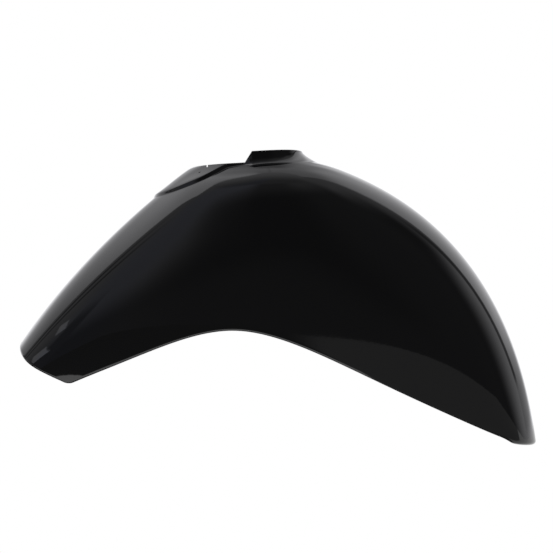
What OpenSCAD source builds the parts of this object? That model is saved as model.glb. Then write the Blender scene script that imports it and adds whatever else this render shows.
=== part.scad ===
// Front mudguard of a motor scooter, moulded in one piece of glossy black plastic.
// +X points to the nose, +Y to the left, +Z up the steering stem. The origin is the
// centre of the fork opening, in the plane of the collar's rim.

/* [Skin] */
// Thickness of the moulded skin
wall = 3; // [2:0.1:4]
// Height of the flange that the lower edge turns inwards, measured from the outside
lip_depth = 7; // [5:0.5:12]
// Radius of the roll between the side and that flange
lip_round = 4; // [3:0.1:4.4]

/* [Crown line, seen from the side] */
// Distance from the opening's centre back to the tail's end
tail_reach = 293.5; // [250:0.5:340]
// Drop from the collar's rim to the tail's end
tail_drop = 203.8; // [170:0.1:230]
// How far the tail's end edge sweeps back at the sides
tail_sweep = 9.1; // [0:0.1:12]
// How soon it sweeps back beside the centre line: a higher value starts nearer
tail_bow = 4.3; // [2:0.1:6]
// Heading of the crown as it leaves the tail, in degrees above level
tail_climb = 52.2; // [45:0.1:60]
// Distance from the opening's centre back to the shoulder, where the tail levels off
shoulder_reach = 112; // [95:1:125]
// Drop from the collar's rim to the shoulder
shoulder_drop = 31.6; // [26:0.1:40]
// Heading of the crown at the shoulder
shoulder_climb = 35; // [30:0.5:40]
// Drop from the collar's rim to the highest point of the crown
top_drop = 7.1; // [4:0.1:9]
// Distance from the opening's centre back to the highest point
top_reach = 4; // [0:1:12]
// Bend radius of the crown at its highest point
top_radius = 172; // [140:1:220]
// Distance from the opening's centre forward to the brow, ahead of the collar
brow_reach = 95; // [80:1:110]
// Drop from the collar's rim to the brow
brow_drop = 28; // [22:0.5:34]
// Fall of the crown at the brow, in degrees below level
brow_fall = 25.2; // [22:0.1:30]
// Distance from the opening's centre forward to the nose
nose_reach = 297.2; // [260:0.1:330]
// Drop from the collar's rim to the nose's lower edge
nose_drop = 351.2; // [310:0.1:380]
// Fall of the crown as it reaches that edge
nose_fall = 85.2; // [78:0.1:92]

/* [Lower edge, seen from the side] */
// Distance from the opening's centre back to the tail's lower corner
tail_corner_reach = 227.9; // [200:0.1:250]
// Drop from the collar's rim to that corner
tail_corner_drop = 248.4; // [225:0.1:270]
// Heading of the lower edge as it leaves the tail's corner
tail_corner_climb = 21.7; // [16:0.1:26]
// Distance from the opening's centre back to the top of the wheel arch
arch_reach = 44.5; // [30:0.5:60]
// Drop from the collar's rim to the top of the wheel arch
arch_drop = 198.4; // [185:0.1:215]
// Bend radius at the top of the wheel arch
arch_radius = 120.6; // [100:0.1:160]
// Fall of the lower edge at the top of the wheel arch
arch_fall = 3.6; // [0:0.1:8]
// Distance from the opening's centre forward to the nose's lower corner
nose_corner_reach = 255.6; // [225:0.1:275]
// Drop from the collar's rim to that corner
nose_corner_drop = 342.2; // [315:0.1:365]
// Fall of the lower edge as it reaches the nose's corner
nose_corner_fall = 29.7; // [24:0.1:34]

/* [Cross-section] */
// Half of the width at the tail's end
tail_half_width = 80; // [65:1:95]
// Half of the width at the wheel arch, where the guard is widest
arch_half_width = 107; // [95:1:120]
// Half of the width at the nose's lower edge
nose_half_width = 71; // [58:1:85]
// How far the lower edge leans in from the widest line
edge_tuck = 5; // [0:0.5:8]
// Fullness of the section: 1 is a plain parabola, more gives steeper sides
side_fullness = 3.3; // [2.5:0.1:4.5]
// Fullness at the nose's edge, which is nearly a circular arc
nose_fullness = 1.4; // [1.1:0.1:2]
// How much flatter the crown is under the collar than elsewhere
plateau = 0.5; // [0:0.05:0.7]

/* [Fork opening] */
// Half of the opening's width, and the radius of both of its ends
opening_radius = 42; // [38:0.5:46]
// Distance between the centres of the opening's two round ends
opening_length = 42; // [34:0.5:50]
// Depth of the low rear rim under the collar's rim
rear_rim_drop = 12.6; // [9:0.1:15]
// How far the rear rim dips further towards its middle
rear_dip = 0.4; // [0:0.1:2]
// How far the collar's rim dips at its very front
front_dip = 1; // [0:0.1:2]
// Distance behind the front centre at which the collar's cut starts, at the rim
cut_start = 13.4; // [8:0.1:18]
// Length of the slanted cut, down to the rear rim
cut_run = 8.8; // [5:0.1:14]
// Width of the concave foot at the collar's sides
side_foot = 9; // [6:0.5:12]
// Width of the concave foot at the collar's front
front_foot = 22; // [12:0.5:28]
// Hollowness of the side's foot: 1 is a straight slope, 2 an elliptic hollow
side_hollow = 2.2; // [1.5:0.1:3]
// Hollowness of the front's foot
front_hollow = 1.4; // [1:0.1:2.5]
// Rounding of the rim's two edges
rim_round = 0.8; // [0.4:0.1:1.2]

/* [Raised pad behind the opening] */
// Distance from the opening's rear centre back to the pad's tip
pad_reach = 88.5; // [70:0.5:100]
// How late the pad's outline leaves the opening's wall: a higher value is later
pad_flare = 1.2; // [0.8:0.1:2]
// Roundness of the outline's rear: a higher value gives a blunter tip
pad_roundness = 2.7; // [1.5:0.1:4]
// Height of the pad above the skin round it
pad_step = 3.8; // [2:0.1:5]
// Height of the pad at its tip
pad_tip_step = 2; // [1:0.1:4]
// Hollowness of the slope from the rear rim down to the pad: 1 is straight
pad_hollow = 3; // [1:0.1:4]
// How far that slope sags in its middle, at the pad's rear
pad_sag = 1; // [0:0.1:1.5]

/* [Fixing tray] */
// Depth of the tray's floor under the collar's rim
tray_drop = 28; // [27:0.5:34]
// Thickness of the tray's floor
tray_floor = 4; // [3:0.5:6]
// Radius of the hole that the steering stem passes through
stem_hole_r = 26; // [18:0.5:28]
// Radius of the four fixing holes, which clear M6 screws
fixing_hole_r = 3.3; // [2.5:0.1:4]
// Distance from the tray's wall in to each fixing hole's axis
fixing_inset = 7; // [6:0.5:8]
// Angle of each fixing hole round its end of the opening, from the centre line
fixing_angle = 45; // [40:1:60]

/* [Small marks] */
// Width of the narrow nick in the right side of the rear rim
nick_width = 1.6; // [0.8:0.1:2]
// Depth of that nick
nick_depth = 3.2; // [2:0.1:5]
// Distance from the opening's centre back to the nick
nick_reach = 65.5; // [60:0.5:70]
// Radius of the small blind pin hole in the pad
pin_hole_r = 0.9; // [0.5:0.1:1.5]
// Depth of that pin hole under the pad's level
pin_hole_depth = 1.5; // [1:0.1:2.5]
// Distance from the opening's centre back to the pin hole
pin_hole_reach = 74.3; // [70:0.1:84]
// Distance from the centre line to the pin hole
pin_hole_side = 50; // [44:0.5:52]

/* [Hidden] */

// Stations run round the part from the nose's centre to the tail's centre. They
// are counted on one half and mirrored for the other.
nose_cells = 8;
nose_corner_cells = 4;
side_cells = 26;
tail_corner_cells = 3;
tail_cells = 9;
half_cells = nose_cells + nose_corner_cells + side_cells + tail_corner_cells + tail_cells;
stations = 2 * half_cells;

// The same stations on the opening: its front arc, the side ahead of the cut, the
// cut, the side behind it, and the rear arc.
front_arc_cells = 18;
collar_side_cells = 3;
cut_cells = 2;
rear_side_cells = 6;
rear_arc_cells = half_cells - front_arc_cells - collar_side_cells - cut_cells - rear_side_cells;

// Rounding of the tail's and the nose's lower corners, as shares of the skin's
// length and of its girth
tail_corner_share = [0.006, 0.025];
nose_corner_share = [0.022, 0.18];

skin_rings = 13;
under_rings = 3;
shelf_rings = 4;

// Bend radii of the two side-view lines at their other knots
tail_bend = 880;
shoulder_bend = 790;
brow_bend = 440;
nose_bend = 800;
tail_corner_bend = 560;
nose_corner_bend = 2100;

// The crown is flatter round the middle of its length, under the collar
plateau_middle = 0.47;
plateau_spread = 0.1;
plateau_fullness = 2.4;

// Length of skin that one unit of s stands for at the tail, and how fast the end
// edge's sweep dies out along it
tail_line = 700;
sweep_fade = 20;

// How fast the front dip dies out round the rim
dip_fade = 8;

// Share of the rear arc over which the pad's step grows out of the rim's wall
step_growth = 0.35;

// The pad's step, as [distance from its edge, share of its height]
step_profile = [[-1.1, 1], [-0.2, 0.81], [0.35, 0.46], [1.1, 0.09], [2.6, 0]];

fillet = 2;
lip_end = 0.5;
search_steps = 20;
slack = 1;

// A small round is drawn with one ring in its middle, at this share of its radius
// from both of its sides
mid_round = 1 - cos(45);

function unit(v) = v / norm(v);
function way(heading) = [cos(heading), sin(heading)];
function left_of(heading) = [-sin(heading), cos(heading)];

// A knot of a side-view line is [x, z, heading, bend radius].
crown = [
    [-tail_reach, -tail_drop, tail_climb, tail_bend],
    [-shoulder_reach, -shoulder_drop, shoulder_climb, shoulder_bend],
    [-top_reach, -top_drop, 0, top_radius],
    [brow_reach, -brow_drop, -brow_fall, brow_bend],
    [nose_reach, -nose_drop, -nose_fall, nose_bend]];
edge = [
    [-tail_corner_reach, -tail_corner_drop, tail_corner_climb, tail_corner_bend],
    [-arch_reach, -arch_drop, -arch_fall, arch_radius],
    [nose_corner_reach, -nose_corner_drop, -nose_corner_fall, nose_corner_bend]];

// Length of the curve between two knots, near enough for an even speed
function stretch(a, b) =
    norm([b.x - a.x, b.y - a.y]) * (1 + pow((b.z - a.z) * PI / 180, 2) / 24);

// Quintic curve from knot a to knot b, with both headings and both bends kept
function span(a, b, t) =
    let (
        r = stretch(a, b),
        t3 = t * t * t,
        rise = t3 * (10 - 15 * t + 6 * t * t),
        leave = t - t3 * (6 - 8 * t + 3 * t * t),
        arrive = t3 * (-4 + 7 * t - 3 * t * t),
        bend_a = t * t * (0.5 - 1.5 * t + 1.5 * t * t - 0.5 * t3),
        bend_b = t3 * (0.5 - t + 0.5 * t * t))
    (1 - rise) * [a.x, a.y] + rise * [b.x, b.y]
        + r * (leave * way(a.z) + arrive * way(b.z))
        - r * r * (bend_a / a[3] * left_of(a.z) + bend_b / b[3] * left_of(b.z));

// Share of a line's whole length at which each of its knots lies
function knot_shares(line) =
    let (
        parts = [for (k = [0:len(line) - 2]) stretch(line[k], line[k + 1])],
        total = parts * [for (p = parts) 1])
    [for (k = [0:len(parts)])
        k == 0 ? 0 : [for (j = [0:k - 1]) parts[j]] * [for (j = [0:k - 1]) 1] / total];

function along(line, shares, s, k = 0) =
    k < len(line) - 2 && s > shares[k + 1]
        ? along(line, shares, s, k + 1)
        : span(line[k], line[k + 1], (s - shares[k]) / (shares[k + 1] - shares[k]));

crown_shares = knot_shares(crown);
edge_shares = knot_shares(edge);
function crown_at(s) = along(crown, crown_shares, s);
function edge_at(s) = along(edge, edge_shares, s);

// A value that runs from the tail to the wheel arch to the nose
function run(tail, arch, nose, s) =
    let (m = edge_shares[1])
    s < m ? arch + (tail - arch) * pow(1 - s / m, 3)
          : arch + (nose - arch) * pow((s - m) / (1 - m), 3);
function swell(s) = plateau * exp(-pow((s - plateau_middle) / plateau_spread, 2));
function half_width(s) = run(tail_half_width, arch_half_width, nose_half_width, s);
function power(s) = 2 + swell(s);
function fullness(s) =
    run(side_fullness, side_fullness, nose_fullness, s) + plateau_fullness * swell(s);

// Point of the outer skin: s runs from tail to nose, q from the crown line at 0 to
// the lower edge at 1 on the left side and -1 on the right
function skin(s, q) =
    let (
        c = crown_at(s),
        e = edge_at(s),
        g = pow(abs(q), power(s)),
        f = pow(1 - pow(max(0, 1 - g), fullness(s)), 1 / power(s)),
        y = half_width(s) * f - edge_tuck * pow(g, 3))
    [c.x + (e.x - c.x) * g, sign(q) * y, c.y + (e.y - c.y) * g];

function skin_normal(s, q, h = 0.002) =
    unit(cross(
        skin(min(1, s + h), q) - skin(s - h, q),
        skin(s, q + 5 * h) - skin(s, q - 5 * h)));

// How far down the section a point at the given y lies, from 0 to 1
function depth_share(s, y) =
    1 - pow(1 - pow(abs(y) / half_width(s), power(s)), 1 / fullness(s));
function section_x(s, y) =
    let (c = crown_at(s), e = edge_at(s)) c.x + (e.x - c.x) * depth_share(s, y);
function search(x, y, low, high, n) =
    let (mid = (low + high) / 2)
    n == 0 ? mid
        : section_x(mid, y) < x ? search(x, y, mid, high, n - 1)
        : search(x, y, low, mid, n - 1);

// Place [s, q] of the skin that lies over a point of the plan
function over(p) =
    let (s = search(p.x, p.y, 0, 1, search_steps))
    [s, sign(p.y) * pow(depth_share(s, p.y), 1 / power(s))];
function skin_z(p) = let (d = over(p)) skin(d.x, d.y).z;

function mirrored(i) = i > half_cells;
function half_index(i) = mirrored(i) ? stations - i : i;

// Station of the opening's outline: [centre of its arc or straight, angle]
slot_half = [
    for (k = [0:front_arc_cells - 1]) [0, 90 * k / front_arc_cells],
    for (k = [0:collar_side_cells - 1]) [-cut_start * k / collar_side_cells, 90],
    for (k = [0:cut_cells - 1]) [-cut_start - cut_run * k / cut_cells, 90],
    for (k = [0:rear_side_cells - 1])
        [-cut_start - cut_run
            - (opening_length - cut_start - cut_run) * k / rear_side_cells, 90],
    for (k = [0:rear_arc_cells]) [-opening_length, 90 + 90 * k / rear_arc_cells]];
function slot_station(i) = slot_half[half_index(i)];
function slot_point(i, out) =
    let (st = slot_station(i), r = opening_radius + out)
    [st[0] + r * cos(st[1]), (mirrored(i) ? -1 : 1) * r * sin(st[1])];

// Station of the skin's outer boundary, as [s, q]
function corner(middle, share, angle) =
    [middle.x + share.x * cos(angle), middle.y + share.y * sin(angle)];
nose_corner_mid = [1 - nose_corner_share.x, 1 - nose_corner_share.y];
tail_corner_mid = [tail_corner_share.x, 1 - tail_corner_share.y];
bound_half = [
    for (k = [0:nose_cells - 1]) [1, nose_corner_mid.y * k / nose_cells],
    for (k = [0:nose_corner_cells - 1])
        corner(nose_corner_mid, nose_corner_share, 90 * k / nose_corner_cells),
    for (k = [0:side_cells - 1])
        [nose_corner_mid.x + (tail_corner_mid.x - nose_corner_mid.x) * k / side_cells, 1],
    for (k = [0:tail_corner_cells - 1])
        corner(tail_corner_mid, tail_corner_share, 90 + 90 * k / tail_corner_cells),
    for (k = [0:tail_cells]) [0, tail_corner_mid.y * (1 - k / tail_cells)]];
function sweep_back(b) =
    let (back = tail_sweep / tail_line * pow(1 - b.x, sweep_fade))
    [b.x - back * (1 - pow(1 - b.y * b.y, tail_bow)), b.y];
function bound(i) =
    let (b = sweep_back(bound_half[half_index(i)])) [b.x, (mirrored(i) ? -1 : 1) * b.y];

// The collar reaches back to the cut. Behind it the rim is low and the pad starts.
// Each of these runs from 0 to 1: down the cut, round the rear end, round the front.
function cut_share(i) = max(0, min(1, (-slot_station(i)[0] - cut_start) / cut_run));
function behind(i) = max(0, slot_station(i)[1] / 90 - 1);
function ahead(i) = max(0, cos(slot_station(i)[1]));
function smooth(t) = t * t * (3 - 2 * t);
function blend(a, b, t) = (1 - t) * a + t * b;
function pad_share(i) = smooth(cut_share(i));

function rim_z(i) =
    -rear_rim_drop * cut_share(i)
        - rear_dip * pow(sin(90 * behind(i)), 2)
        - front_dip * pow(ahead(i), dip_fade);
function at(p, z) = [p.x, p.y, z];

// Collar: a concave foot that leaves the rim upright and meets the skin level
function collar_point(i, t) =
    let (
        front = pow(ahead(i), 2),
        foot = blend(side_foot, front_foot, front),
        n = 2 / blend(side_hollow, front_hollow, front),
        p = slot_point(i, wall + foot * (1 - pow(cos(90 * t), n))),
        height = rim_z(i) - rim_round - skin_z(slot_point(i, wall)))
    at(p, skin_z(p) + height * (1 - pow(sin(90 * t), n)));

// Pad: its outline starts at the opening's wall and swings out to the tip
function pad_edge(i) =
    let (nearest = wall - step_profile[0][0])
    blend(nearest, pad_reach - opening_radius,
        1 - pow(1 - pow(behind(i), pad_flare), pad_roundness));

// A hollow slope runs from the rim down to the pad, and a small rounded step from
// the pad down to the skin
function pad_point(i, k) =
    let (
        edge_out = pad_edge(i),
        full = blend(pad_step, pad_tip_step, pow(behind(i), 3)),
        height = rim_z(i) - skin_z(slot_point(i, wall)),
        step = blend(height, full, smooth(min(1, behind(i) / step_growth))),
        u = min(1, k / shelf_rings),
        turn = step_profile[max(0, k - shelf_rings)],
        p = slot_point(i, blend(wall, edge_out + turn[0], u)))
    at(p, skin_z(p) + step * turn[1] + (height - step) * pow(1 - u, pad_hollow)
        - pad_sag * pow(behind(i), 2) * sin(180 * u));

wall_count = shelf_rings + len(step_profile);
function wall_point(i, k) =
    pad_share(i) == 0
        ? collar_point(i, k / (wall_count - 1))
        : blend(collar_point(i, k / (wall_count - 1)), pad_point(i, k), pad_share(i));

// Rings of the tray and the rim, from the tray's floor up and over. On the pad's
// side the rim isn't rounded, because the pad starts level with it.
function tray_ring(out, z) = [for (i = [0:stations - 1]) at(slot_point(i, out), z)];
function rim_ring(out, down) =
    [for (i = [0:stations - 1]) at(slot_point(i, out), rim_z(i) - down)];
opening_rings = [
    tray_ring(-fillet, -tray_drop),
    tray_ring(-mid_round * fillet, -tray_drop + mid_round * fillet),
    tray_ring(0, -tray_drop + fillet),
    rim_ring(0, rim_round),
    rim_ring(mid_round * rim_round, mid_round * rim_round),
    rim_ring(rim_round, 0),
    rim_ring(wall - rim_round, 0),
    [for (i = [0:stations - 1])
        at(slot_point(i, wall - mid_round * rim_round),
            rim_z(i) - mid_round * rim_round * (1 - pad_share(i)))]];
wall_ring_list = [
    for (k = [0:wall_count - 1]) [for (i = [0:stations - 1]) wall_point(i, k)]];

// Skin outside the collar and the pad, as places [s, q]
foot_places = [for (p = wall_ring_list[wall_count - 1]) over(p)];
skin_places = [
    for (k = [1:skin_rings])
        let (t = k / skin_rings)
        [for (i = [0:stations - 1]) blend(foot_places[i], bound(i), t)]];
skin_ring_list = [for (ring = skin_places) [for (d = ring) skin(d.x, d.y)]];

// Lip: the edge rolls inwards and ends in a flange of the same thickness
function lip_frame(i) =
    let (
        b = skin_ring_list[skin_rings - 1],
        d = bound(i),
        n = skin_normal(d.x, d.y),
        tangent = unit(b[(i + 1) % stations] - b[(i + stations - 1) % stations]),
        out = unit(cross(tangent, n)))
    [b[i], out, n];
lip_frames = [for (i = [0:stations - 1]) lip_frame(i)];
function lip_ring(out, down) = [for (f = lip_frames) f[0] + out * f[1] - down * f[2]];
lip_rings = [
    for (a = [30, 60, 90]) lip_ring(lip_round * sin(a), lip_round * (1 - cos(a))),
    lip_ring(lip_round, lip_depth - lip_end),
    lip_ring(lip_round - lip_end, lip_depth),
    lip_ring(lip_round - wall + lip_end, lip_depth),
    lip_ring(lip_round - wall, lip_depth - lip_end),
    lip_ring(lip_round - wall, wall + slack)];

// Inside of the skin, back to the outside of the tray
under_places = [
    for (k = [0:under_rings])
        [for (i = [0:stations - 1])
            blend(foot_places[i], over(slot_point(i, wall + fillet)), k / under_rings)]];
inner_places = [for (k = [skin_rings - 2:-1:0]) skin_places[k], each under_places];
function inside(d) = skin(d.x, d.y) - wall * skin_normal(d.x, d.y);
inner_ring_list = [for (ring = inner_places) [for (d = ring) inside(d)]];
function under_z(i) = inner_ring_list[len(inner_ring_list) - 1][i].z;
tray_rings = [
    [for (i = [0:stations - 1])
        at(slot_point(i, wall + mid_round * fillet), under_z(i) - mid_round * fillet)],
    [for (i = [0:stations - 1]) at(slot_point(i, wall), under_z(i) - fillet)],
    tray_ring(wall, -tray_drop - tray_floor + slack),
    tray_ring(wall - slack, -tray_drop - tray_floor)];

rings = concat(
    opening_rings, wall_ring_list, skin_ring_list, lip_rings, inner_ring_list, tray_rings);

// Two triangles of the cell between two rings, mirrored from one half to the other
function cell(i, j) =
    let (
        n = (i + 1) % stations,
        a = j * stations + i,
        b = j * stations + n,
        c = a + stations,
        d = b + stations)
    i < half_cells ? [[a, b, d], [a, d, c]] : [[a, b, c], [b, d, c]];

module moulded_skin() {
    last = len(rings) - 1;
    polyhedron(
        points = [for (ring = rings) each ring],
        faces = [
            [for (i = [stations - 1:-1:0]) i],
            for (j = [0:last - 1]) for (i = [0:stations - 1]) each cell(i, j),
            [for (i = [0:stations - 1]) last * stations + i]],
        convexity = 8);
}

module through_floor(r) {
    translate([0, 0, -tray_drop - tray_floor - slack])
        cylinder(r = r, h = tray_floor + 2 * slack, $fn = 64);
}

module fixing_holes() {
    r = opening_radius - fixing_inset;
    for (side = [-1, 1]) {
        translate([r * cos(fixing_angle), side * r * sin(fixing_angle), 0])
            through_floor(fixing_hole_r);
        translate([-opening_length - r * cos(fixing_angle), side * r * sin(fixing_angle), 0])
            through_floor(fixing_hole_r);
    }
}

// The nick runs straight across the guard. It is cut long enough to cross the rim's
// curved wall, and starts at the pad's side of it.
module rim_nick() {
    beside = sqrt(pow(opening_radius, 2) - pow(nick_reach - opening_length, 2));
    length = 3 * wall;
    translate([-nick_reach - nick_width / 2, -beside - length, -rear_rim_drop - nick_depth])
        cube([nick_width, length + 2 * slack, nick_depth + 2 * slack]);
}

module pin_hole() {
    p = [-pin_hole_reach, -pin_hole_side];
    translate(at(p, skin_z(p) + pad_step - pin_hole_depth))
        cylinder(r = pin_hole_r, h = pin_hole_depth + rear_rim_drop, $fn = 24);
}

module mudguard() {
    color("#161618")
        difference() {
            moulded_skin();
            through_floor(stem_hole_r);
            fixing_holes();
            rim_nick();
            pin_hole();
        }
}

mudguard();
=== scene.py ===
# %% [markdown]
# # The front mudguard of a motor scooter
# One glossy black moulding covers the front wheel. The steering stem comes down through the
# collar on its top, and four screws in a tray under the collar hold it to the fork.
# The imported CAD model gives every size. It is loaded first, and its box is kept.

# %% Load the imported model
import math

import bmesh
import bpy
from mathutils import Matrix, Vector


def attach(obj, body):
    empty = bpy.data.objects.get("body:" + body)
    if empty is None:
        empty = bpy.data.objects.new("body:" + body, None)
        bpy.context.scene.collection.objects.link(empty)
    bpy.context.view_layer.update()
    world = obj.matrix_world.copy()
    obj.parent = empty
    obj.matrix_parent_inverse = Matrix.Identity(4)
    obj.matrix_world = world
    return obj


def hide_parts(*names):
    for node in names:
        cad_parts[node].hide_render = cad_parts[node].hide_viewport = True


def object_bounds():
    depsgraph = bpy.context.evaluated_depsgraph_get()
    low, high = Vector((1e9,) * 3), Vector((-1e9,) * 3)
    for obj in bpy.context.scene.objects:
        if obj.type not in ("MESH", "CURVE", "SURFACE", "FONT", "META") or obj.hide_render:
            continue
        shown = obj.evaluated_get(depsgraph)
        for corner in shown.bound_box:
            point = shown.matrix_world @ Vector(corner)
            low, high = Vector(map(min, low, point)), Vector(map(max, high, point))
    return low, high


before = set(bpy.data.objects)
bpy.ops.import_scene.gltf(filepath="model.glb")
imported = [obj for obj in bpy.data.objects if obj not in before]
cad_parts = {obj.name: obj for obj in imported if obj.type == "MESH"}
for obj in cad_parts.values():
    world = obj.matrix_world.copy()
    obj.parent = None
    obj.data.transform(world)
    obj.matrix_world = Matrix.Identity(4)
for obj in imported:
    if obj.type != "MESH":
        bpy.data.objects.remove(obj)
cad_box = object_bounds()
print("CAD box in mm:", [[round(1000 * c, 1) for c in corner] for corner in cad_box])

# %% [markdown]
# ## The camera
# The photograph looks squarely at the guard's right side. The guard hangs in it as it sits on
# the fork with its nose a little raised, and here the steering stem is upright, so the camera
# is rolled by that angle instead. It stands two metres away, where a long lens barely shows
# the depth of the nose.

# %% Place the camera
NOSE_UP = math.radians(3.2)
CAMERA_DISTANCE = 2.0
PICTURE_WIDTH = 0.6454  # what the frame's width covers at the guard's middle
PICTURE_CENTRE = (0.0066, -0.1446)  # x and z

camera_data = bpy.data.cameras.new("side_camera")
camera_data.sensor_width = 36
camera_data.lens = camera_data.sensor_width * CAMERA_DISTANCE / PICTURE_WIDTH
camera = bpy.data.objects.new("side_camera", camera_data)
camera.location = (PICTURE_CENTRE[0], -CAMERA_DISTANCE, PICTURE_CENTRE[1])
camera.rotation_euler = (math.radians(90), NOSE_UP, 0)
bpy.context.scene.collection.objects.link(camera)
bpy.context.scene.camera = camera
print("lens in mm:", round(camera_data.lens, 1))

# %% [markdown]
# ## Two lines seen from the side
# A moulded guard is drawn from a few guide lines. Two of them are its outline from the side:
# the crown line over the top, and the lower edge. Each needs only a few knots, and a knot says
# where the line passes, which way it heads, and how sharply it bends there. A Bezier curve
# could join them, but its bend jumps at every knot, and gloss shows such a jump as a broken
# reflection. A quintic span keeps place, heading and bend alike, so the reflection flows on.

# %% Knots: x, z, heading in degrees, bend radius, in mm
CROWN = [
    (-293.5, -203.8, 52.2, 880.0),
    (-112.0, -31.6, 35.0, 790.0),
    (-4.0, -7.1, 0.0, 172.0),
    (95.0, -28.0, -25.2, 440.0),
    (297.2, -351.2, -85.2, 800.0),
]
EDGE = [
    (-227.9, -248.4, 21.7, 560.0),
    (-44.5, -198.4, -3.6, 120.6),
    (255.6, -342.2, -29.7, 2100.0),
]
print("knots on the crown and the edge:", len(CROWN), len(EDGE))

# %% A line whose place, heading and bend run on through its knots
def stretch(a, b):
    """Length of the line between two knots, near enough for an even speed."""
    turn = math.radians(b[2] - a[2])
    return math.hypot(b[0] - a[0], b[1] - a[1]) * (1 + turn * turn / 24)


def span(a, b, t):
    """Point on the quintic line from knot a to knot b, t from 0 to 1."""
    r = stretch(a, b)
    rise = t**3 * (10 - 15 * t + 6 * t * t)
    leave = t - t**3 * (6 - 8 * t + 3 * t * t)
    arrive = t**3 * (-4 + 7 * t - 3 * t * t)
    bend_a = r * r / a[3] * t * t * (0.5 - 1.5 * t + 1.5 * t * t - 0.5 * t**3)
    bend_b = r * r / b[3] * t**3 * (0.5 - t + 0.5 * t * t)
    ha, hb = math.radians(a[2]), math.radians(b[2])
    x = leave * r * math.cos(ha) + arrive * r * math.cos(hb)
    z = leave * r * math.sin(ha) + arrive * r * math.sin(hb)
    x += bend_a * math.sin(ha) + bend_b * math.sin(hb)
    z -= bend_a * math.cos(ha) + bend_b * math.cos(hb)
    return a[0] + rise * (b[0] - a[0]) + x, a[1] + rise * (b[1] - a[1]) + z


def knot_shares(line):
    """How far along the whole line each knot lies, from 0 to 1."""
    shares = [0.0]
    for a, b in zip(line, line[1:]):
        shares.append(shares[-1] + stretch(a, b))
    return [share / shares[-1] for share in shares]


def along(line, shares, s):
    k = 0
    while k < len(line) - 2 and s > shares[k + 1]:
        k += 1
    return span(line[k], line[k + 1], (s - shares[k]) / (shares[k + 1] - shares[k]))


crown_shares, edge_shares = knot_shares(CROWN), knot_shares(EDGE)
print("knots lie at", [round(v, 3) for v in crown_shares], [round(v, 3) for v in edge_shares])

# %% [markdown]
# ## The skin between the two lines
# From the tail to the nose, the same two numbers say where on the skin a point is: s along the
# guard, and q down the section, 0 on the crown and 1 on the lower edge. The section is a
# parabola with its sides filled out, because the guard has to clear the tyre and the fork
# without growing wider. At the nose it is nearly a circle. Round the collar it is flatter on
# top, as a seat for the pad. A formula for the whole skin means that any ring of vertices
# drawn on it lies on the same smooth surface, however the rings run.

# %% The skin's formula
HALF_WIDTH = (80.0, 107.0, 71.0)  # at the tail, the wheel arch and the nose
FULLNESS = (3.3, 3.3, 1.4)
EDGE_TUCK = 5.0
PLATEAU, PLATEAU_MIDDLE, PLATEAU_SPREAD = 0.5, 0.47, 0.1
PLATEAU_FULLNESS = 2.4


def run(sizes, s):
    """A size that goes from the tail's value to the wheel arch's and on to the nose's."""
    tail, arch, nose = sizes
    m = edge_shares[1]
    if s < m:
        return arch + (tail - arch) * (1 - s / m) ** 3
    return arch + (nose - arch) * ((s - m) / (1 - m)) ** 3


def section(s):
    """Crown point, edge point, half width, power and fullness of the section at s."""
    swell = PLATEAU * math.exp(-(((s - PLATEAU_MIDDLE) / PLATEAU_SPREAD) ** 2))
    fullness = run(FULLNESS, s) + PLATEAU_FULLNESS * swell
    return (
        along(CROWN, crown_shares, s),
        along(EDGE, edge_shares, s),
        run(HALF_WIDTH, s),
        2 + swell,
        fullness,
    )


print("half width at the tail, the arch and the nose:", HALF_WIDTH)

# %% Points on the skin
HALVINGS = 18


def skin(s, q):
    (cx, cz), (ex, ez), width, power, fullness = section(s)
    g = abs(q) ** power
    y = width * (1 - max(0.0, 1 - g) ** fullness) ** (1 / power) - EDGE_TUCK * g**3
    return Vector((cx + (ex - cx) * g, math.copysign(y, q), cz + (ez - cz) * g))


def skin_normal(s, q, h=0.002):
    ahead = skin(min(1.0, s + h), q) - skin(s - h, q)
    down = skin(s, q + 5 * h) - skin(s, q - 5 * h)
    return ahead.cross(down).normalized()


def over(x, y):
    """The place (s, q) of the skin that lies over a point of the plan, found by halving."""
    low, high = 0.0, 1.0
    for _ in range(HALVINGS):
        s = (low + high) / 2
        (cx, _), (ex, _), width, power, fullness = section(s)
        share = 1 - (1 - (abs(y) / width) ** power) ** (1 / fullness)
        if cx + (ex - cx) * share < x:
            low = s
        else:
            high = s
    return s, share ** (1 / power)


print("widest section at s", round(edge_shares[1], 3), skin(edge_shares[1], 0.7)[:])

# %% [markdown]
# ## Stations round the guard
# The mesh is a sheet of rings. Each ring runs round the guard from the nose to the tail, and
# the rings step outwards from the fork's opening to the lower edge, over it, and back inside.
# The stations round the opening and the stations round the outer edge are matched one to one,
# and only the left half is drawn: the right half is its mirror image.

# %% Stations on the opening
FINENESS = 4
OPENING_R, OPENING_LENGTH = 42.0, 42.0
RIM_DROP, REAR_DIP, FRONT_DIP = 12.6, 0.4, 1.0
CUT_START, CUT_RUN = 13.4, 8.8


def steps(count, first, last, with_end=False):
    count *= FINENESS
    return [first + (last - first) * k / count for k in range(count + with_end)]


slot = [(0.0, a) for a in steps(18, 0, 90)]
slot += [(x, 90.0) for x in steps(3, 0, -CUT_START)]
slot += [(x, 90.0) for x in steps(2, -CUT_START, -CUT_START - CUT_RUN)]
slot += [(x, 90.0) for x in steps(6, -CUT_START - CUT_RUN, -OPENING_LENGTH)]
slot += [(-OPENING_LENGTH, a) for a in steps(21, 90, 180, True)]
STATIONS = len(slot)


def slot_point(i, out):
    """Plan point of station i, a distance outside the opening's own outline."""
    x, angle = slot[i]
    r = OPENING_R + out
    return x + r * math.cos(math.radians(angle)), r * math.sin(math.radians(angle))


print("stations on one half:", STATIONS)

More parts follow.
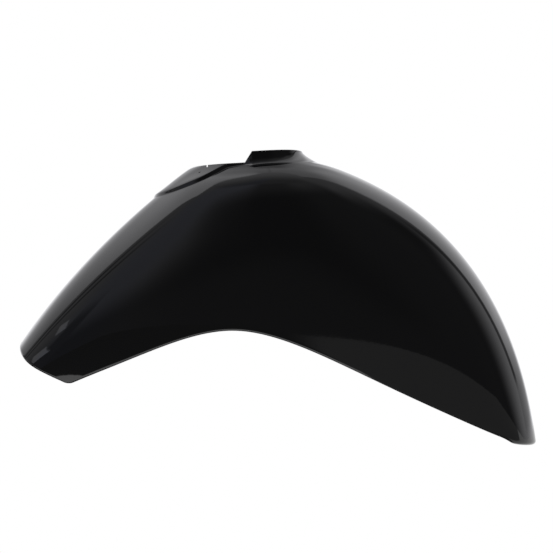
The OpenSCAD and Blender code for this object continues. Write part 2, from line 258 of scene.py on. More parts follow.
# %% Stations on the outer edge, as places (s, q)
NOSE_CORNER, TAIL_CORNER = (0.022, 0.18), (0.006, 0.025)
TAIL_SWEEP = 0.013  # how far back the tail's end edge bows, as a share of s
TAIL_BOW, TAIL_NEAR = 4.3, 20  # how early it bows, and how near the end the bow stays


def corner(middle, size, degrees):
    a = math.radians(degrees)
    return middle[0] + size[0] * math.cos(a), middle[1] + size[1] * math.sin(a)


def bowed(s, q):
    return s - TAIL_SWEEP * (1 - s) ** TAIL_NEAR * (1 - (1 - q * q) ** TAIL_BOW), q


nose_mid = (1 - NOSE_CORNER[0], 1 - NOSE_CORNER[1])
tail_mid = (TAIL_CORNER[0], 1 - TAIL_CORNER[1])
bound = [(1.0, q) for q in steps(8, 0, nose_mid[1])]
bound += [corner(nose_mid, NOSE_CORNER, a) for a in steps(4, 0, 90)]
bound += [(s, 1.0) for s in steps(26, nose_mid[0], tail_mid[0])]
bound += [corner(tail_mid, TAIL_CORNER, a) for a in steps(3, 90, 180)]
bound += [(0.0, q) for q in steps(9, tail_mid[1], 0, True)]
bound = [bowed(s, q) for s, q in bound]
assert len(bound) == STATIONS
print("outer edge from", bound[0], "to", bound[-1])

# %% [markdown]
# ## The collar and the pad
# Ahead of the slanted cut the collar stands up round the stem, with a concave foot that runs
# out into the skin. Behind the cut the rim is low, and a raised pad lies round it: a shelf,
# then a small rounded step. Both are profiles over the same stations, so across the cut one
# turns into the other, as the moulding's surfaces do.

# %% Where a station lies, and how high its rim is
def smooth(t):
    """Runs from 0 to 1 and leaves and arrives level."""
    return t * t * (3 - 2 * t)


def cut_share(i):
    """0 on the collar, 1 behind the cut."""
    return max(0.0, min(1.0, (-slot[i][0] - CUT_START) / CUT_RUN))


def behind(i):
    """0 on the opening's straight sides, 1 at the middle of its rear."""
    return max(0.0, slot[i][1] / 90 - 1)


def ahead(i):
    """1 at the middle of the opening's front, 0 on its straight sides."""
    return max(0.0, math.cos(math.radians(slot[i][1])))


def rim_z(i):
    front = FRONT_DIP * ahead(i) ** 8
    return -RIM_DROP * cut_share(i) - REAR_DIP * math.sin(behind(i) * math.pi / 2) ** 2 - front


def skin_z(x, y):
    return skin(*over(x, y)).z


rim_stations = (0, STATIONS // 2, STATIONS - 1)
print("rim at the front, the side and the rear:", [round(rim_z(i), 1) for i in rim_stations])

# %% The collar's profile
WALL, RIM_ROUND = 3.0, 0.8
SIDE_FOOT, FRONT_FOOT = 9.0, 22.0
SIDE_POWER, FRONT_POWER = 2.2, 1.4
SHELF_RINGS, STEP_RINGS = 9, 14
WALL_RINGS = SHELF_RINGS + STEP_RINGS


def collar_profile(i):
    """Points of the collar's outside, from under the rim to the skin."""
    x, y = slot_point(i, WALL)
    front = ahead(i) ** 2
    foot = SIDE_FOOT + (FRONT_FOOT - SIDE_FOOT) * front
    power = 2 / (SIDE_POWER + (FRONT_POWER - SIDE_POWER) * front)
    height = rim_z(i) - RIM_ROUND - skin_z(x, y)
    points = []
    for k in range(WALL_RINGS):
        a = math.pi / 2 * k / (WALL_RINGS - 1)
        across = 1 - max(0.0, math.cos(a)) ** power
        up = 1 - math.sin(a) ** power
        x, y = slot_point(i, WALL + foot * across)
        points.append(Vector((x, y, skin_z(x, y) + height * up)))
    return points


print("collar front, rim to foot:", [round(collar_profile(0)[k].z, 1) for k in (0, -1)])

# %% The pad's profile
PAD_REACH, PAD_FLARE, PAD_ROUNDNESS = 88.5, 1.2, 2.7
PAD_STEP, PAD_TIP_STEP, STEP_GROWTH = 3.8, 2.0, 0.35
PAD_HOLLOW, PAD_SAG = 3.0, 1.0
STEP_FROM, STEP_TO, STEP_MIDDLE, STEP_SOFTNESS = -1.1, 2.6, 0.3, 0.35


def pad_profile(i):
    """Points of the pad, from the rim over the shelf and down its step."""
    u = behind(i)
    spread = 1 - (1 - u**PAD_FLARE) ** PAD_ROUNDNESS
    nearest = WALL - STEP_FROM
    reach = nearest + (PAD_REACH - OPENING_R - nearest) * spread
    x, y = slot_point(i, WALL)
    height = rim_z(i) - skin_z(x, y)
    step = PAD_STEP + (PAD_TIP_STEP - PAD_STEP) * u**3
    step = height + (step - height) * smooth(min(1.0, u / STEP_GROWTH))
    lift = height - step
    sag = PAD_SAG * u**2
    points = []
    for k in range(WALL_RINGS):
        u = min(1.0, k / SHELF_RINGS)
        v = max(0.0, (k - SHELF_RINGS) / (STEP_RINGS - 1))
        out = WALL + (reach + STEP_FROM - WALL) * u + (STEP_TO - STEP_FROM) * v
        fall = 1 / (1 + math.exp((out - reach - STEP_MIDDLE) / STEP_SOFTNESS)) if v else 1.0
        x, y = slot_point(i, out)
        shelf = lift * (1 - u) ** PAD_HOLLOW - sag * math.sin(math.pi * u)
        points.append(Vector((x, y, skin_z(x, y) + step * fall + shelf)))
    return points


print("the pad's rear end at x:", round(pad_profile(STATIONS - 1)[-1].x, 1))

# %% One wall from both, blended across the cut
wall = []
for i in range(STATIONS):
    w = smooth(cut_share(i))
    pairs = zip(collar_profile(i), pad_profile(i) if w > 0 else collar_profile(i))
    wall.append([a.lerp(b, w) for a, b in pairs])
print("wall points:", len(wall) * WALL_RINGS)

# %% [markdown]
# ## The rows of one half
# Each station now gets its whole column of points, from the tray's floor up the opening's
# wall, over the rim, down the collar or pad, out over the skin, round the rolled lower edge,
# and back along the inside to the tray. The wall is three millimetres everywhere, and the
# lower edge is rolled inwards to a flange, because a raw edge of thin plastic would flutter
# and split.

# %% Small rounds
ARC = [k / 4 for k in range(5)]


def quarter(t):
    """Sine and cosine of a share of a right angle."""
    return math.sin(t * math.pi / 2), math.cos(t * math.pi / 2)


def level_to_upright(corner, size, arc=ARC):
    """Points of a round at a corner, from its level side to its upright one."""
    turns = [quarter(t) for t in arc]
    return [(corner[0] + size[0] * (1 - a), corner[1] + size[1] * (1 - b)) for a, b in turns]


def upright_to_level(corner, size, arc=ARC):
    turns = [quarter(t) for t in arc]
    return [(corner[0] + size[0] * (1 - b), corner[1] + size[1] * (1 - a)) for a, b in turns]


print("a round of 1 mm:", [[round(v, 2) for v in p] for p in level_to_upright((0, 0), (1, 1))])

# %% The opening's wall and rim
TRAY_DROP, TRAY_FLOOR, FILLET = 28.0, 4.0, 2.0
HOLD = 0.4  # a row this far from a round keeps the round tight


def opening_column(i):
    """From the tray's floor up to the rim and over it."""
    rim, drop = rim_z(i), RIM_ROUND * (1 - smooth(cut_share(i)))
    spots = level_to_upright((0.0, -TRAY_DROP), (-FILLET, FILLET))
    spots += [(0.0, -TRAY_DROP + FILLET + HOLD), (0.0, rim - RIM_ROUND - HOLD)]
    spots += upright_to_level((0.0, rim), (RIM_ROUND, -RIM_ROUND))
    spots += level_to_upright((WALL, rim), (-RIM_ROUND, -drop), ARC[:-1])
    return [Vector((*slot_point(i, out), z)) for out, z in spots]


print("points up the opening's wall:", len(opening_column(0)))

# %% The rolled lower edge
LIP_ROUND, LIP_DEPTH, LIP_END, LIP_ROOT, LIP_HOLD = 4.0, 7.0, 0.7, 1.2, 0.3
LIP_ARC = [k / 8 for k in range(1, 9)]


def lip_column(i, ring):
    """Round the lower edge, from the skin's last point to the flange's inner side."""
    before, after = ring[max(0, i - 1)], ring[min(STATIONS - 1, i + 1)]
    normal = skin_normal(*bound[i])
    tangent = (after - before).normalized()
    if i in (0, STATIONS - 1):
        tangent = Vector((0, 1 if i == 0 else -1, 0))
    out = tangent.cross(normal).normalized()
    spots = level_to_upright((LIP_ROUND, 0.0), (-LIP_ROUND, LIP_ROUND), LIP_ARC)
    spots += [(LIP_ROUND, LIP_ROUND + HOLD), (LIP_ROUND, LIP_DEPTH - LIP_END - LIP_HOLD)]
    spots += upright_to_level((LIP_ROUND, LIP_DEPTH), (-LIP_END, -LIP_END))
    inner = LIP_ROUND - WALL
    spots += level_to_upright((inner, LIP_DEPTH), (LIP_END, -LIP_END))
    spots += [(inner, LIP_DEPTH - LIP_END - LIP_HOLD), (inner, WALL + LIP_ROOT)]
    return [ring[i] + out * a - normal * b for a, b in spots]


edge_ring = [skin(*place) for place in bound]
print("points round the lower edge:", len(lip_column(0, edge_ring)))

# %% The skin, and the way back under it
SKIN_RINGS, UNDER_RINGS = 48, 6
EDGE_HOLD = 0.15  # the last row's distance from the edge, in rows
TRAY_ROUND = 1.0


def between(a, b, t):
    return a[0] + (b[0] - a[0]) * t, a[1] + (b[1] - a[1]) * t


def on_skin(place, depth):
    """A point this deep under the skin, square to it."""
    return skin(*place) - depth * skin_normal(*place)


def skin_places(i):
    """Places on the skin, from the foot of the wall to the outer edge."""
    foot = wall[i][-1]
    start = over(foot.x, foot.y)
    shares = [k / SKIN_RINGS for k in range(1, SKIN_RINGS)]
    shares += [1 - EDGE_HOLD / SKIN_RINGS, 1.0]
    return start, [between(start, bound[i], t) for t in shares]


def under_column(i, start):
    """From under the foot to the tray, and down its outside."""
    end = over(*slot_point(i, WALL + FILLET))
    shares = [k / UNDER_RINGS for k in range(UNDER_RINGS + 1)]
    points = [on_skin(between(start, end, t), WALL) for t in shares]
    z, tray = points[-1].z, -TRAY_DROP - TRAY_FLOOR
    spots = level_to_upright((WALL, z), (FILLET, -FILLET), ARC[1:])
    spots += [(WALL, z - FILLET - HOLD), (WALL, tray + TRAY_ROUND + HOLD)]
    spots += upright_to_level((WALL, tray), (-TRAY_ROUND, TRAY_ROUND))
    return points + [Vector((*slot_point(i, out), z)) for out, z in spots]


print("rows on the skin:", len(skin_places(0)[1]))

# %% Whole columns
columns = []
for i in range(STATIONS):
    start, places = skin_places(i)
    column = opening_column(i) + wall[i]
    painted = len(column) + len(places)
    column += [skin(*place) for place in places]
    column += lip_column(i, edge_ring)
    bare = len(column)
    column += [on_skin(place, WALL) for place in reversed(places[1 : SKIN_RINGS - 1 : 2])]
    column += under_column(i, start)
    columns.append(column)
ROWS = len(columns[0])
print("rows:", ROWS, "of which painted:", painted, "bare from:", bare)

# %% [markdown]
# ## Draping a sheet over the form
# A grid is the flat sheet, and its vertices are drawn onto the form one by one, as a heated
# sheet of plastic is drawn over a mould. The first and last column lie on the centre line, so
# a mirror with its doubles merged makes the whole ring. Building it from cubes and
# subdividing would round the thin rim away, and sculpting it would leave waves in the gloss.

# %% Drape, mirror and weld
WELD = 0.001  # vertices closer than this become one
SPRAY_SHORT = 2  # rows before the bare inside, where the spray ends

mesh_maker = bmesh.new()
bmesh.ops.create_grid(mesh_maker, x_segments=STATIONS - 1, y_segments=ROWS - 1, size=1)
mesh_maker.verts.ensure_lookup_table()
paint = mesh_maker.verts.layers.float.new("paint")
for j in range(ROWS):
    for i in range(STATIONS):
        v = mesh_maker.verts[j * STATIONS + i]
        v.co = columns[i][j]
        if i in (0, STATIONS - 1):
            v.co.y = 0
        v[paint] = 1.0 if j < bare - SPRAY_SHORT else 0.0
half = mesh_maker.verts[:] + mesh_maker.edges[:] + mesh_maker.faces[:]
bmesh.ops.mirror(mesh_maker, geom=half, axis="Y", merge_dist=WELD)
bmesh.ops.remove_doubles(mesh_maker, verts=mesh_maker.verts, dist=WELD)
print("quads after the mirror:", len(mesh_maker.faces))
print("open edges:", sum(e.is_boundary for e in mesh_maker.edges))

# %% [markdown]
# ## The tray's floor and its holes
# The sheet is still open at the tray. Its floor is a flat plate with a large hole for the
# steering stem and four small ones for screws. A fill that takes all the rings of one level
# together makes the plate with its holes in one go, and bridging the two rings of each hole
# gives its bore.

# %% Fill the floor round its holes
STEM_R, SCREW_R = 26.0, 3.3
STEM_SIDES, SCREW_SIDES = 96, 32
SCREW_INSET, SCREW_ANGLE = 7.0, 45.0
screw_out = (OPENING_R - SCREW_INSET) * math.cos(math.radians(SCREW_ANGLE))
holes = [(0.0, 0.0, STEM_R, STEM_SIDES)]
for y in (-screw_out, screw_out):
    for x in (screw_out, -OPENING_LENGTH - screw_out):
        holes.append((x, y, SCREW_R, SCREW_SIDES))

loops = {}
for level, z in (("top", -TRAY_DROP), ("under", -TRAY_DROP - TRAY_FLOOR)):
    edges = [e for e in mesh_maker.edges if e.is_boundary and abs(e.verts[0].co.z - z) < 0.01]
    rings = []
    for x, y, r, count in holes:
        ring = bmesh.ops.create_circle(mesh_maker, segments=count, radius=r)["verts"]
        bmesh.ops.translate(mesh_maker, verts=ring, vec=(x, y, z))
        rings.append(list(dict.fromkeys(e for v in ring for e in v.link_edges)))
        for v in ring:
            v[paint] = 1.0 if level == "top" else 0.0
    edges += [e for ring in rings for e in ring]
    bmesh.ops.triangle_fill(mesh_maker, edges=edges, use_beauty=True)
    loops[level] = rings
for top, under in zip(loops["top"], loops["under"]):
    bmesh.ops.bridge_loops(mesh_maker, edges=top + under)
bmesh.ops.recalc_face_normals(mesh_maker, faces=mesh_maker.faces)
print("open edges left:", sum(not e.is_manifold for e in mesh_maker.edges))

# %% Make the object
MM = 0.001
bmesh.ops.scale(mesh_maker, vec=(MM, MM, MM), verts=mesh_maker.verts)
shell_mesh = bpy.data.meshes.new("mudguard_shell")
mesh_maker.to_mesh(shell_mesh)
mesh_maker.free()
shell = bpy.data.objects.new("mudguard_shell", shell_mesh)
bpy.context.scene.collection.objects.link(shell)
print("triangles:", sum(len(p.vertices) - 2 for p in shell_mesh.polygons))

# %% [markdown]
# ## Two small marks
# The rear rim has a narrow nick on its right side, and a pin hole is drilled beside it,
# perhaps for a trim strip's fixings. They are far smaller than the mesh's cells, so they
# are cut with a Boolean after the draping, as a workshop would cut them after moulding.

# %% Cut the nick and the pin hole
NICK_WIDTH, NICK_LENGTH, NICK_DEPTH, NICK_SPOT = 1.6, 11.0, 3.2, (-65.5, -38.3)
PIN_R, PIN_DEPTH, PIN_SPOT = 0.9, 1.5, (-74.3, -50.0)
SPARE = 2.0  # how far the cutters stand out of the surface
SHARP_ANGLE = 40

cutter_maker = bmesh.new()
nick = bmesh.ops.create_cube(cutter_maker, size=1)["verts"]
nick_z = SPARE / 2 - NICK_DEPTH / 2 - RIM_DROP
bmesh.ops.scale(cutter_maker, verts=nick, vec=(NICK_WIDTH, NICK_LENGTH, NICK_DEPTH + SPARE))
bmesh.ops.translate(cutter_maker, verts=nick, vec=(*NICK_SPOT, nick_z))
pin = bmesh.ops.create_cone(
    cutter_maker,
    cap_ends=True,
    segments=24,
    radius1=PIN_R,
    radius2=PIN_R,
    depth=PIN_DEPTH + SPARE,
)["verts"]
pin_z = skin_z(PIN_SPOT[0], -PIN_SPOT[1]) + PAD_STEP - PIN_DEPTH / 2 + SPARE / 2
bmesh.ops.translate(cutter_maker, verts=pin, vec=(*PIN_SPOT, pin_z))
bmesh.ops.scale(cutter_maker, vec=(MM, MM, MM), verts=cutter_maker.verts)
cutter_mesh = bpy.data.meshes.new("small_cuts")
cutter_maker.to_mesh(cutter_mesh)
cutter_maker.free()
cutter = bpy.data.objects.new("small_cuts", cutter_mesh)
bpy.context.scene.collection.objects.link(cutter)

cut = shell.modifiers.new("small_cuts", "BOOLEAN")
cut.object, cut.operation, cut.solver = cutter, "DIFFERENCE", "EXACT"
depsgraph = bpy.context.evaluated_depsgraph_get()
cut_mesh = bpy.data.meshes.new_from_object(shell.evaluated_get(depsgraph))
shell.modifiers.clear()
shell.data = cut_mesh
bpy.data.objects.remove(cutter)
bpy.data.meshes.remove(shell_mesh)
cut_mesh.name = "mudguard_shell"
cut_mesh.shade_smooth()
cut_mesh.set_sharp_from_angle(angle=math.radians(SHARP_ANGLE))
print("triangles after the cuts:", sum(len(p.vertices) - 2 for p in cut_mesh.polygons))

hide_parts("mudguard")
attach(shell, "root")

# %% [markdown]
# ## Gloss paint outside, bare plastic inside
# The outside is painted a deep gloss black. Almost all of what the eye sees on it is a
# reflection, so the colour is kept very dark, and the detail is in the surface: the faint
# orange peel of sprayed paint, and a little dust and polishing haze that roughens it in
# places. The inside is never painted: there the moulded plastic is dull and lightly grained.
# Both are one material, and the paint attribute says where the spray reached.

# %% Start the finish
finish = bpy.data.materials.new("gloss_black_paint")
finish.use_nodes = True
nodes, links = finish.node_tree.nodes, finish.node_tree.links
nodes.clear()


def node(kind, **inputs):
    """A new node, with plain values on the inputs that are named."""
    made = nodes.new(kind)
    for name, value in inputs.items():
        made.inputs[name.replace("_", " ")].default_value = value
    return made


def feed(socket, value):
    """Link a node's output into a socket, or set a plain value there."""
    if isinstance(value, bpy.types.NodeSocket):
        links.new(value, socket)
    else:
        socket.default_value = value


output = node("ShaderNodeOutputMaterial")
surface = node("ShaderNodeBsdfPrincipled", IOR=1.5)
place = node("ShaderNodeTexCoord").outputs["Object"]
reach = node("ShaderNodeAttribute")
reach.attribute_name = "paint"


def where_painted(kind, bare, painted):
    """The painted value where the spray reached, and the bare one elsewhere."""
    made = nodes.new("ShaderNodeMix")
    made.data_type = kind
    feed(made.inputs["Factor"], reach.outputs["Fac"])
    feed(made.inputs["A"], bare)
    feed(made.inputs["B"], painted)
    return made.outputs["Result"]


print("finish:", finish.name)

# %% Colour and roughness
BARE_COLOUR, PAINT_COLOUR = (0.012, 0.012, 0.013, 1), (0.003, 0.003, 0.0035, 1)
BARE_ROUGHNESS, POLISHED, HAZY = 0.55, 0.03, 0.07

haze = node("ShaderNodeTexNoise", Scale=14.0, Detail=4.0, Roughness=0.6)
haze_range = node(
    "ShaderNodeMapRange", From_Min=0.35, From_Max=0.75, To_Min=POLISHED, To_Max=HAZY
)
feed(haze.inputs["Vector"], place)
feed(haze_range.inputs["Value"], haze.outputs["Fac"])
roughness = where_painted("FLOAT", BARE_ROUGHNESS, haze_range.outputs["Result"])
feed(surface.inputs["Roughness"], roughness)
feed(surface.inputs["Base Color"], where_painted("RGBA", BARE_COLOUR, PAINT_COLOUR))
print("roughness of the paint:", POLISHED, "to", HAZY)

# %% Orange peel on the paint and grain on the plastic
PEEL_SCALE, GRAIN_SCALE = 260.0, 1800.0

peel = node("ShaderNodeTexNoise", Scale=PEEL_SCALE, Detail=2.0)
grain = node("ShaderNodeTexNoise", Scale=GRAIN_SCALE, Detail=3.0)
feed(peel.inputs["Vector"], place)
feed(grain.inputs["Vector"], place)
bump = node("ShaderNodeBump", Strength=0.02, Distance=0.0005)
feed(bump.inputs["Height"], where_painted("FLOAT", grain.outputs["Fac"], peel.outputs["Fac"]))
feed(surface.inputs["Normal"], bump.outputs["Normal"])
feed(output.inputs["Surface"], surface.outputs["BSDF"])
cut_mesh.materials.clear()
cut_mesh.materials.append(finish)
print("finish nodes:", len(nodes))

# %% [markdown]
# ## What the gloss mirrors
# A product photograph of a gloss black part shows what the part mirrors. White paper behind
# it draws the bright band along its top, the dark room where the camera stands leaves its
# flank black, a grey wall on the left lightens the tail, and the table top shows along the
# nose's lower edge as a paler field. Lamps would only add spots, so the surroundings
# themselves give the light. Their tones are soft steps, added, multiplied and blended, so a
# few helpers that make such nodes come first. A tone of 1 is white.

# %% Helpers for tones
def calc(operation, a, b=0.0):
    made = nodes.new("ShaderNodeMath")
    made.operation = operation
    feed(made.inputs[0], a)
    feed(made.inputs[1], b)
    return made.outputs[0]


def slope(value, low, high, first=0.0, last=1.0):
    """Goes softly from the first tone at low to the last at high."""
    made = nodes.new("ShaderNodeMapRange")
    made.interpolation_type = "SMOOTHSTEP"
    feed(made.inputs["Value"], value)
    feed(made.inputs["From Min"], low)
    feed(made.inputs["From Max"], high)
    feed(made.inputs["To Min"], first)
    feed(made.inputs["To Max"], last)
    return made.outputs["Result"]


def fade(value, low, high):
    """1 up to low, and softly 0 from high on."""
    return slope(value, low, high, 1.0, 0.0)


def off(value, middle):
    """How far a value is from a middle, either way."""
    return calc("ABSOLUTE", calc("SUBTRACT", value, middle))


def near(value, middle, half, edge):
    """1 within half of a middle, and 0 beyond a soft edge."""
    return fade(off(value, middle), half, half + edge)


def both(first, *others):
    """1 only where all the shares are 1."""
    for other in others:
        first = calc("MULTIPLY", first, other)
    return first


def blend(share, a, b):
    """Tone a at share 0, and tone b at share 1."""
    made = nodes.new("ShaderNodeMix")
    made.data_type = "FLOAT"
    feed(made.inputs["Factor"], share)
    feed(made.inputs["A"], a)
    feed(made.inputs["B"], b)
    return made.outputs["Result"]


def either(share, first, second):
    """A shader that is the first at share 0 and the second at share 1."""
    made = nodes.new("ShaderNodeMixShader")
    for socket, value in zip(made.inputs, (share, first, second)):
        feed(socket, value)
    return made.outputs["Shader"]


def white_for_camera(shader, white):
    """The camera sees plain white, and every other ray the given shader."""
    ray = nodes.new("ShaderNodeLightPath").outputs["Is Camera Ray"]
    return either(ray, shader, white)


print("helpers ready")

# %% [markdown]
# ## The table top
# The table is near, so its reflection shifts along the guard, and a tone by direction alone
# couldn't do that. It is a real sheet, just under the guard. It is no lamp, yet it glows, and
# its tones are painted light and shade at places on it, in metres from the stem: dark by the
# rear half and pale by the nose, a painted shadow in the guard's own shade, and a painted lit
# strip along the rear half, which the lower edge and the tail's corner show as a fine bright
# line.
# The camera sees all of it white. From below it is clear, so that the guard's inside can be
# looked at too.

# %% Lay the table top
TABLE_GAP = 0.005
TABLE_OUTLINE = [(-0.6, -1.0), (1.894, -1.0), (0.1, 0.05), (0.1, 0.6), (-0.6, 0.6)]

table_z = cad_box[0].z - TABLE_GAP
table_maker = bmesh.new()
corners = [table_maker.verts.new((x, y, table_z)) for x, y in TABLE_OUTLINE]
bmesh.ops.contextual_create(table_maker, geom=corners)
bmesh.ops.recalc_face_normals(table_maker, faces=table_maker.faces)
table_mesh = bpy.data.meshes.new("table_top")
table_maker.to_mesh(table_mesh)
table_maker.free()
table = bpy.data.objects.new("table_top", table_mesh)
bpy.context.scene.collection.objects.link(table)
print("table top at z in mm:", round(1000 * table_z, 1))

# %% The table's tones
# the tones the table glows with, which paint its light and shade
BY_REAR, BY_NOSE, OWN_SHADE = 0.105, 0.285, 0.4
STRIP_TONE, TIP_TONE = 1.5, 1.0

table_look = bpy.data.materials.new("pale_table")
table_look.use_nodes = True
nodes, links = table_look.node_tree.nodes, table_look.node_tree.links
nodes.clear()
spot = node("ShaderNodeSeparateXYZ")
feed(spot.inputs["Vector"], node("ShaderNodeTexCoord").outputs["Object"])
x, y = spot.outputs["X"], spot.outputs["Y"]

# the glow is dimmer by the rear half and brighter by the nose
tone = slope(x, -0.02, 0.08, BY_REAR, BY_NOSE)
# a painted shadow: the glow is dimmer where the guard's own shade falls
tone = calc("MULTIPLY", tone, slope(y, -0.09, -0.06, 1.0, OWN_SHADE))
# the painted lit strip's outer side steps in at the tail, and its inner side and front end fade
# out
outer = calc("SUBTRACT", y, slope(x, -0.275, -0.24, -0.152, -0.2))
lit_strip = both(slope(outer, -0.005, 0.005), fade(y, -0.085, -0.045), fade(x, 0.055, 0.08))
tone = blend(lit_strip, tone, STRIP_TONE)
# a painted bright spot of light under the nose's tip
tip = both(slope(x, 0.26, 0.268), slope(y, -0.084, -0.074))
# the table glows with these tones of painted light, though it is no lamp
painted_glow = node("ShaderNodeEmission")
feed(painted_glow.inputs["Strength"], blend(tip, tone, TIP_TONE))
white = node("ShaderNodeEmission", Color=(1, 1, 1, 1), Strength=1.0)
from_above = white_for_camera(painted_glow.outputs["Emission"], white.outputs["Emission"])
clear = node("ShaderNodeBsdfTransparent").outputs["BSDF"]
below = node("ShaderNodeNewGeometry").outputs["Backfacing"]
whole = either(below, from_above, clear)
feed(node("ShaderNodeOutputMaterial").inputs["Surface"], whole)
table_mesh.materials.append(table_look)
print("table nodes:", len(nodes))

# %% [markdown]
# ## The room by direction
# Everything further away is written in the world, as one tone for each direction. Two angles
# in degrees name a direction: az goes round the room, 0 towards the camera and 90 towards the
# nose, and el goes up from the horizon. A piece of the room is a share between 0 and 1 that
# says where it is, and each is blended over what lies behind it, as a painter works. Some
# edges lean, so a lean adds a part of one angle to the other.

# %% Directions
world = bpy.data.worlds.new("studio")
bpy.context.scene.world = world
world.use_nodes = True
nodes, links = world.node_tree.nodes, world.node_tree.links
nodes.clear()
axes = node("ShaderNodeSeparateXYZ")
feed(axes.inputs["Vector"], node("ShaderNodeTexCoord").outputs["Generated"])
x, y, z = axes.outputs
az = calc("MULTIPLY", calc("ARCTAN2", x, calc("MULTIPLY", y, -1.0)), math.degrees(1))
el = calc("MULTIPLY", calc("ARCSINE", z), math.degrees(1))
print("world:", world.name)

# %% The grey wall on the left, with a dim bar and two bright panes
WALL_FOOT, WALL_TOP, WALL_BACK = 0.14, 0.37, 0.42
BAR_TONE, PANE_TONE, PANE_LEAN = 0.16, 1.0, 0.8
PANES = [(-30.0, 2.5, 25.4, 2.5), (-41.0, 3.5, 12.5, 4.5)]  # slant, el and their halves

left = slope(el, 2, 28, WALL_FOOT, WALL_TOP)
left = blend(slope(az, -95, -60), WALL_BACK, left)
left = blend(both(near(az, -54.0, 5, 4), fade(el, 20, 34)), left, BAR_TONE)
slant = calc("ADD", el, calc("MULTIPLY", az, PANE_LEAN))
for pane_slant, half_slant, pane_el, half_el in PANES:
    pane = both(near(slant, pane_slant, half_slant, 1), near(el, pane_el, half_el, 1))
    left = blend(pane, left, PANE_TONE)
print("panes:", len(PANES))

# %% The dark room in front, and its side towards the nose
FRONT_DARK, FRONT_TOP, FLOOR_GLOW = 0.08, 0.17, 0.03
CORNER_LEAN, CORNER_EL = 0.25, 20.0
NOSE_SIDE, NOSE_SIDE_TOP = 0.115, 0.28

front = calc("ADD", slope(el, 48, 72, FRONT_DARK, FRONT_TOP), slope(el, -4, 10, FLOOR_GLOW, 0.0))
turn = calc("ADD", az, calc("MULTIPLY", calc("SUBTRACT", el, CORNER_EL), CORNER_LEAN))
room = blend(slope(turn, -28, -4), left, front)
room = blend(slope(az, 8, 40), room, slope(el, 54, 72, NOSE_SIDE, NOSE_SIDE_TOP))
print("world nodes so far:", len(nodes))

# %% The wall on the right, paler towards the paper, with a beam over its upper part
RIGHT_DARK, RIGHT_PALE, RIGHT_SHADED, BEAM_TONE = 0.08, 0.85, 0.35, 0.42

lower_part = slope(az, 76, 112, RIGHT_DARK, RIGHT_PALE)
right = blend(slope(el, 24, 42), lower_part, slope(az, 92, 112, RIGHT_DARK, RIGHT_SHADED))
right = blend(slope(el, 46, 60), right, BEAM_TONE)
room = blend(slope(az, 66, 92), room, right)
print("world nodes so far:", len(nodes))

# %% The left sheet of paper, with two dark bars beside its leaning edge
SHEET_LEAN, SHEET_EDGE, BARS = 0.87, 0.7, (0.6, 0.46)
SHEET_LOW, SHEET_TOP, SHEET_FOOT, BARS_TONE = 0.82, 1.55, 0.5, 0.15
REAR_DIM = 0.5

paper = calc("ADD", slope(el, 28, 54, SHEET_LOW, SHEET_TOP), slope(el, 10, 20, SHEET_FOOT, 0.0))
lean = calc("ADD", y, calc("MULTIPLY", z, SHEET_LEAN))
lean = calc("SUBTRACT", lean, slope(x, -0.4, -0.15, 0.0, 0.3))
bars = calc("ADD", near(lean, BARS[0], 0.02, 0.02), near(lean, BARS[1], 0.02, 0.02))
room = blend(both(bars, fade(az, -72, -64), fade(el, 42, 58)), room, BARS_TONE)
on_left = both(slope(lean, SHEET_EDGE - 0.02, SHEET_EDGE + 0.02), fade(x, -0.03, 0.03))
turned = calc("ABSOLUTE", az)
rear_top = both(slope(turned, 146, 168), slope(el, 26, 42))
dimmed = calc("SUBTRACT", 1.0, calc("MULTIPLY", rear_top, REAR_DIM))
room = blend(on_left, room, calc("MULTIPLY", paper, dimmed))
print("world nodes so far:", len(nodes))

# %% The right sheet of paper
RIGHT_LOW, RIGHT_LOW_REAR, SHEET_WHITE, SHEET_UPPER = 0.65, 1.32, 1.35, 0.85
REAR_DIM_HIGH = 0.1

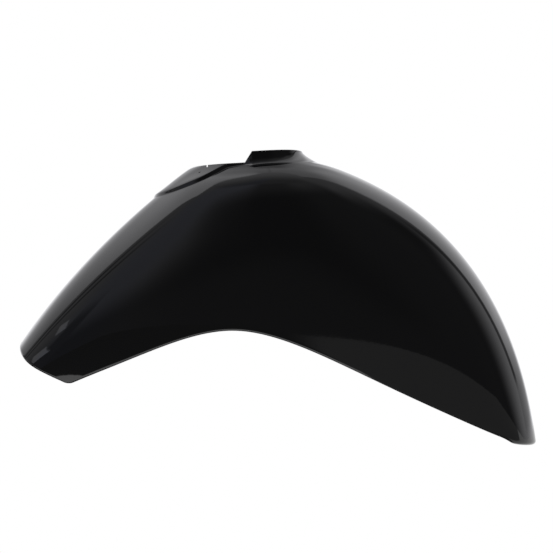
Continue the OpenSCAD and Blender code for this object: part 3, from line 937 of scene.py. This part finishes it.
low = slope(az, 146, 158, RIGHT_LOW, RIGHT_LOW_REAR)
under_horizon = blend(0.5, SHEET_WHITE, low)
paper = blend(slope(el, -3, -1), under_horizon, blend(slope(el, 2, 14), low, SHEET_WHITE))
paper = blend(slope(el, 50, 66), paper, SHEET_UPPER)
rear_dim = calc("MULTIPLY", rear_top, slope(el, 52, 66, REAR_DIM, REAR_DIM_HIGH))
paper = calc("MULTIPLY", paper, calc("SUBTRACT", 1.0, rear_dim))
side_edge = blend(slope(el, 44, 48), slope(az, 116, 119), slope(az, 114, 122))
room = blend(side_edge, room, paper)
print("world nodes so far:", len(nodes))

# %% A post at that sheet's edge, the gap between the two sheets, and the ceiling
POST_AZ, POST_LEAN, POST_SHARE, POST_TONE = 122.0, 0.3, 0.9, 0.12
GAP_TONE, CEILING_FRONT, CEILING_REAR = 0.3, 0.24, 0.62

off_post = off(calc("ADD", az, calc("MULTIPLY", el, POST_LEAN)), POST_AZ)
post = both(slope(off_post, 2, 5, POST_SHARE, 0.0), slope(el, 3, 6), fade(el, 40, 50))
room = blend(post, room, POST_TONE)
gap = both(slope(turned, 166, 176), slope(el, 16, 24), fade(el, 56, 66))
room = blend(gap, room, GAP_TONE)
room = blend(slope(el, 74, 77.5), room, slope(y, -0.15, 0.2, CEILING_FRONT, CEILING_REAR))
print("world nodes so far:", len(nodes))

# %% [markdown]
# ## The room's colour
# The left wall is a little bluer than the rest, and the tail side of the flank shows it. The
# colour of each direction is blended like its tone. The camera sees white instead of the
# room, because the photograph's background is white, and no light has to be added for it.

# %% Tint the room and finish the world
COOL, NEUTRAL = (0.955, 0.985, 1.14, 1), (0.99, 0.988, 1.015, 1)

tint = node("ShaderNodeMix")
tint.data_type = "RGBA"
feed(tint.inputs["A"], COOL)
feed(tint.inputs["B"], NEUTRAL)
feed(tint.inputs["Factor"], calc("MAXIMUM", slope(off(az, -46.0), 8, 34), on_left))
studio = node("ShaderNodeBackground")
feed(studio.inputs["Color"], tint.outputs["Result"])
feed(studio.inputs["Strength"], room)
plain = node("ShaderNodeBackground", Color=(1, 1, 1, 1), Strength=1.0)
seen = white_for_camera(studio.outputs["Background"], plain.outputs["Background"])
feed(node("ShaderNodeOutputWorld").inputs["Surface"], seen)
bpy.context.scene.view_settings.view_transform = "Standard"
print("world nodes:", len(nodes))
